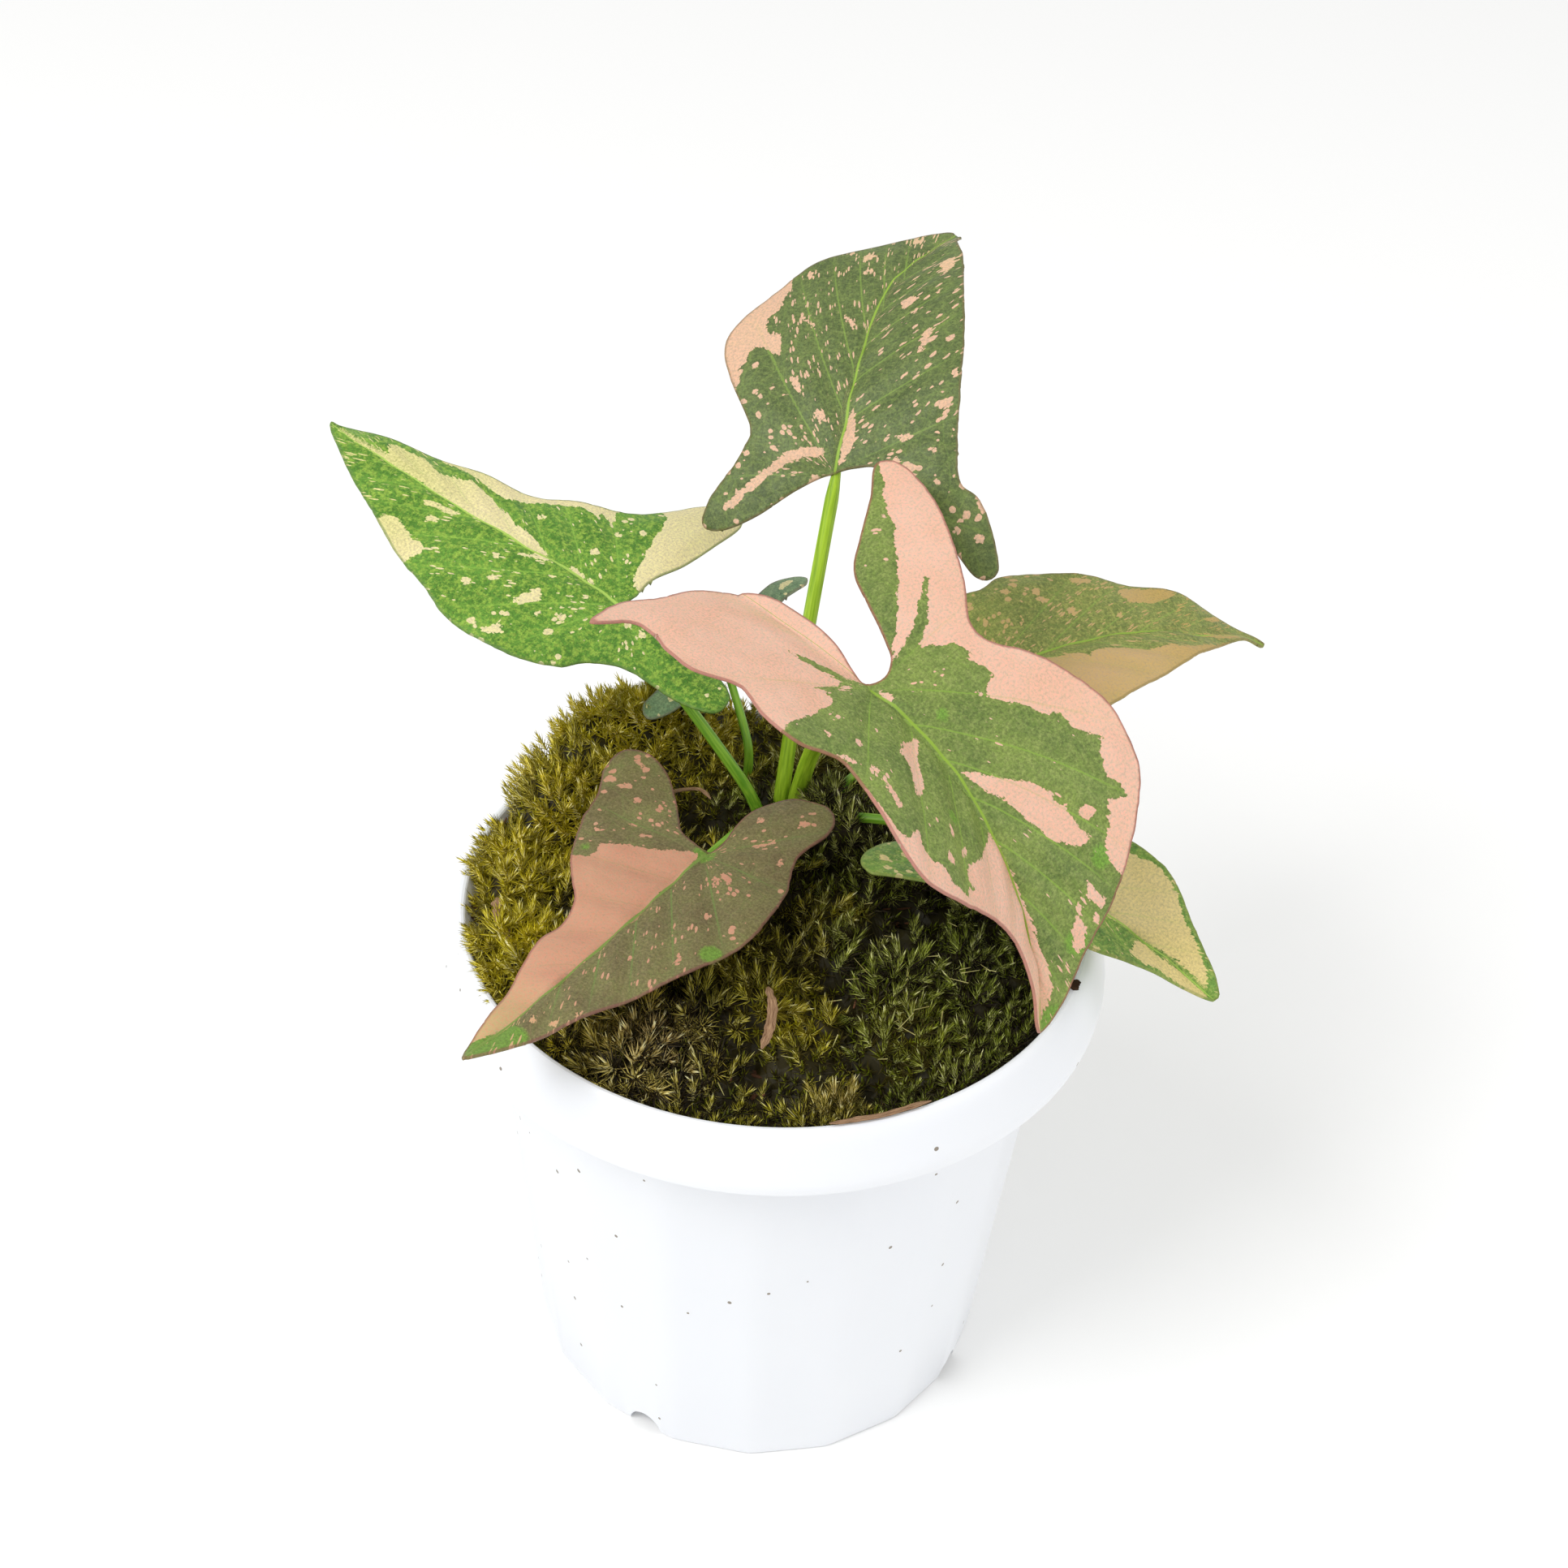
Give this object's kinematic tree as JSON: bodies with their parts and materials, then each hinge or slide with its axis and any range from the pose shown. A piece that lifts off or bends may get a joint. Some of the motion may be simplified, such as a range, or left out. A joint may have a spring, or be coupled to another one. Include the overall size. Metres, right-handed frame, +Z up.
{
  "type": "potted arrowhead plant",
  "caption": "Young variegated arrowhead plant with pink and green arrow-shaped leaves in a moss-topped round plastic pot.",
  "frame": {"origin": "centre of the pot's underside, on the surface it stands on", "axes": "+Z up along the pot's axis, -Y towards the front of the plant, +X to its right"},
  "size_m": [0.193, 0.1781, 0.1995],
  "materials": {
    "white_plastic": "satin injection-moulded polypropylene",
    "potting_mix": "damp coir and bark potting mix",
    "petiole_green": "smooth green leaf stalk",
    "moss_dark": "living moss",
    "moss_green": "living moss",
    "moss_yellow": "living moss",
    "leaf_olive": "satin leaf, peach specks",
    "leaf_bright": "satin leaf, cream marks",
    "leaf_pink": "satin leaf, pink and green",
    "leaf_brown": "satin leaf, brownish green and pink",
    "leaf_cream": "satin leaf, cream and green",
    "leaf_bluish": "satin leaf, bluish green",
    "plant_litter": "dry brown bark and twig"
  },
  "bodies": {
    "root": {"pot": "white_plastic", "potting_mix": "potting_mix", "stem_crown": "petiole_green", "back_stem_crown": "petiole_green", "moss_right": "moss_dark", "moss_back_right": "moss_dark", "moss_back": "moss_green", "moss_left": "moss_yellow", "moss_front_left": "moss_yellow", "moss_front": "moss_green", "moss_front_right": "moss_dark", "leaf_top": "leaf_olive", "leaf_left": "leaf_bright", "leaf_front": "leaf_pink", "leaf_right": "leaf_olive", "leaf_low_left": "leaf_brown", "leaf_low_right": "leaf_cream", "leaf_back": "leaf_bluish", "bark_strip": "plant_litter", "dry_twig": "plant_litter", "bark_chip": "plant_litter", "rim_twig": "plant_litter", "rim_crumb": "potting_mix", "petiole_top": "petiole_green", "petiole_left": "petiole_green", "petiole_front": "petiole_green", "petiole_right": "petiole_green", "petiole_low_left": "petiole_green", "petiole_low_right": "petiole_green", "petiole_back": "petiole_green"}
  },
  "joints": []
}
